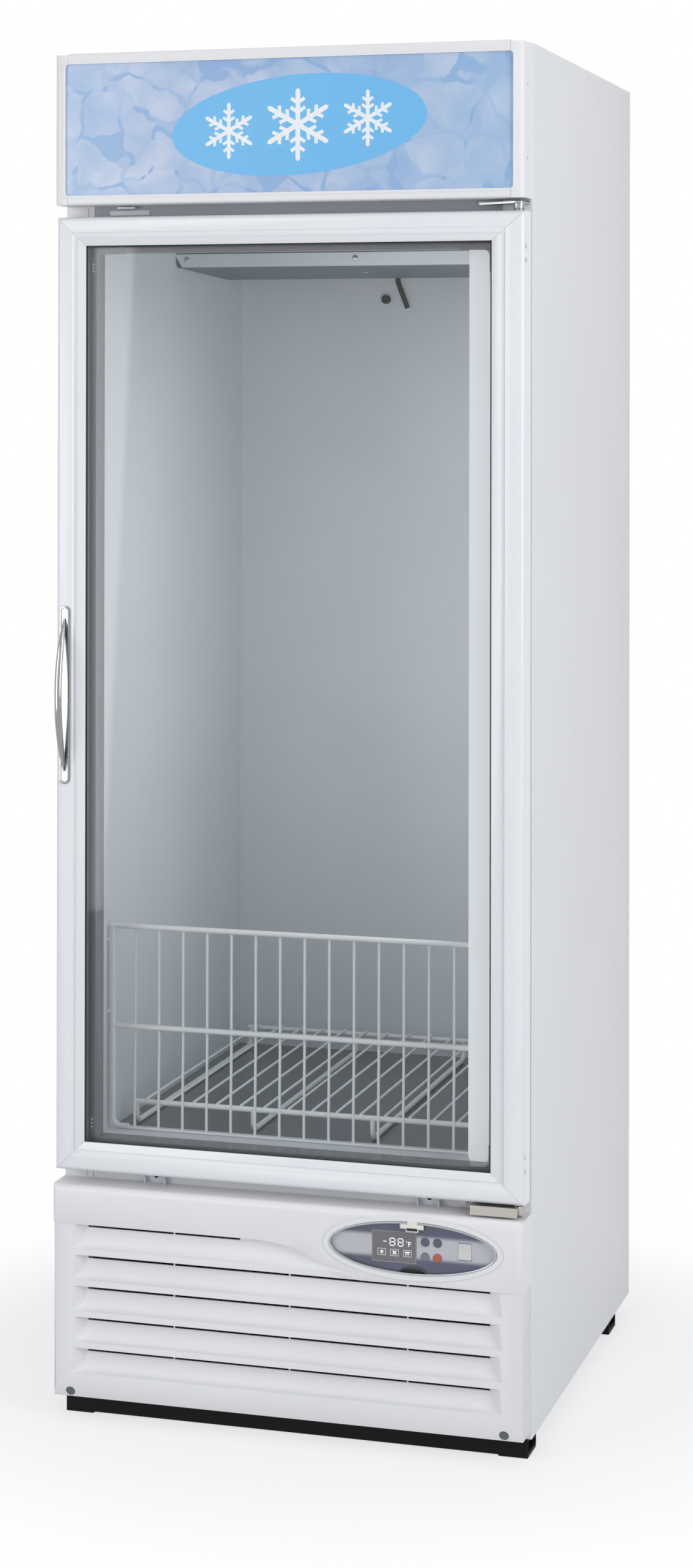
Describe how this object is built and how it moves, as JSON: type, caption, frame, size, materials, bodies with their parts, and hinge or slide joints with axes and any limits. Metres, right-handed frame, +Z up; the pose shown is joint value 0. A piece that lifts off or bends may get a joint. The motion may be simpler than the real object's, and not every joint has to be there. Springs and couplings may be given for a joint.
{
  "type": "ice merchandiser freezer",
  "caption": "Upright one-door glass merchandiser freezer with a lit header, a louvred lower panel with a flip-cover control panel and a chrome bow handle.",
  "frame": {"origin": "on the floor under the middle of the whole machine, door handle included", "axes": "+Z up, +Y towards the rear, so the door faces -Y; +X to the right as seen from the front, the hinge side"},
  "size_m": [0.686, 0.814, 1.949],
  "materials": {
    "white_paint": "satin white paint on steel sheet",
    "black_paint": "semi-matt black paint",
    "liner_metal": "smooth white coated liner sheet",
    "galvanised": "dull galvanised sheet",
    "white_plastic": "smooth white moulding, soft gloss",
    "grey_plastic": "dark grey moulding, soft sheen",
    "foam": "foamed-in insulation, matt",
    "white_aluminium": "white powder coat on aluminium section",
    "aluminium": "plain extruded aluminium",
    "coil_metal": "finned aluminium",
    "chrome": "polished chrome plate",
    "nickel": "satin nickel plate",
    "pin_steel": "plain steel",
    "glass": "clear flat glass",
    "smoked_cover": "lightly smoked clear plastic",
    "gasket_grey": "soft grey magnetic gasket",
    "fascia_film": "slate blue printed film",
    "sign_film": "pale blue translucent sign sheet",
    "lamp_white": "white lamp diffuser",
    "coated_wire": "white plastic-coated wire",
    "dark_button": "dark slate rubber key",
    "grey_button": "grey rubber key",
    "red_button": "red rubber key",
    "black_plastic": "matt black plastic"
  },
  "bodies": {
    "cabinet": {"left_side_panel": "white_paint", "right_side_panel": "white_paint", "roof_panel": "white_paint", "rear_panel": "white_paint", "upper_face_panel": "white_paint", "compartment_ceiling": "white_paint", "foam_insulation": "foam", "breaker_frame": "white_plastic", "liner_left_wall": "liner_metal", "liner_right_wall": "liner_metal", "liner_rear_wall": "liner_metal", "liner_ceiling": "liner_metal", "liner_floor": "galvanised", "threshold_sill": "white_plastic", "base_pan": "galvanised", "front_base_rail": "black_paint", "rear_base_rail": "black_paint", "header_top_rail": "white_plastic", "header_bottom_rail": "white_plastic", "header_end_cap_left": "white_plastic", "header_end_cap_right": "white_plastic", "sign_panel": "sign_film", "sign_lamp": "lamp_white", "lower_grille_panel": "white_plastic", "control_bezel": "aluminium", "control_fascia": "fascia_film", "display_module": "black_plastic", "top_hinge_bracket": "nickel", "bottom_hinge_bracket": "nickel", "top_hinge_pin": "pin_steel", "bottom_hinge_pin": "pin_steel", "evaporator_cover": "liner_metal", "evaporator_coil": "coil_metal", "evaporator_fan_motor": "black_plastic", "interior_lamp": "lamp_white", "wire_guard": "coated_wire", "floor_rack": "coated_wire", "condenser_coil": "coil_metal", "condenser_fan_shroud": "galvanised", "compressor": "black_paint", "rear_service_cover": "white_paint"},
    "door": {"door_stile_handle_side": "white_aluminium", "door_stile_hinge_side": "white_aluminium", "door_rail_top": "white_aluminium", "door_rail_bottom": "white_aluminium", "outer_glass": "glass", "inner_glass": "glass", "glass_spacer": "aluminium", "door_inner_frame": "grey_plastic", "door_gasket": "gasket_grey", "door_handle": "chrome"},
    "control_cover": {"control_cover": "smoked_cover"},
    "light_button": {"light_button": "dark_button"},
    "raise_button": {"raise_button": "dark_button"},
    "lower_button": {"lower_button": "grey_button"},
    "alarm_button": {"alarm_button": "red_button"},
    "rocker_switch": {"rocker_switch": "white_plastic"},
    "evaporator_fan": {"evaporator_fan": "black_plastic"},
    "condenser_fan": {"condenser_fan": "black_plastic"}
  },
  "joints": [
    {"name": "door_hinge", "type": "hinge", "parent": "cabinet", "child": "door", "pos_m": [0.329, -0.356, 1.036], "axis": [0, 0, 1], "range_deg": [0, 110]},
    {"name": "control_cover_hinge", "type": "hinge", "parent": "cabinet", "child": "control_cover", "pos_m": [0.187, -0.3857, 0.319], "axis": [-1, 0, 0], "range_deg": [0, 100]},
    {"name": "light_button_press", "type": "slide", "parent": "cabinet", "child": "light_button", "axis": [0, 1, 0], "range_m": [0, 0.0012], "stiffness_N_per_m": 400},
    {"name": "raise_button_press", "type": "slide", "parent": "cabinet", "child": "raise_button", "axis": [0, 1, 0], "range_m": [0, 0.0012], "stiffness_N_per_m": 400},
    {"name": "lower_button_press", "type": "slide", "parent": "cabinet", "child": "lower_button", "axis": [0, 1, 0], "range_m": [0, 0.0012], "stiffness_N_per_m": 400},
    {"name": "alarm_button_press", "type": "slide", "parent": "cabinet", "child": "alarm_button", "axis": [0, 1, 0], "range_m": [0, 0.0012], "stiffness_N_per_m": 400},
    {"name": "rocker_switch_pivot", "type": "hinge", "parent": "cabinet", "child": "rocker_switch", "pos_m": [0.2598, -0.3764, 0.2893], "axis": [1, 0, 0], "range_deg": [0, 12]},
    {"name": "evaporator_fan_spin", "type": "hinge", "parent": "cabinet", "child": "evaporator_fan", "pos_m": [0, 0.0272, 1.777], "axis": [0, 1, 0], "continuous": true},
    {"name": "condenser_fan_spin", "type": "hinge", "parent": "cabinet", "child": "condenser_fan", "pos_m": [0, -0.2042, 0.1531], "axis": [0, 1, 0], "continuous": true}
  ]
}
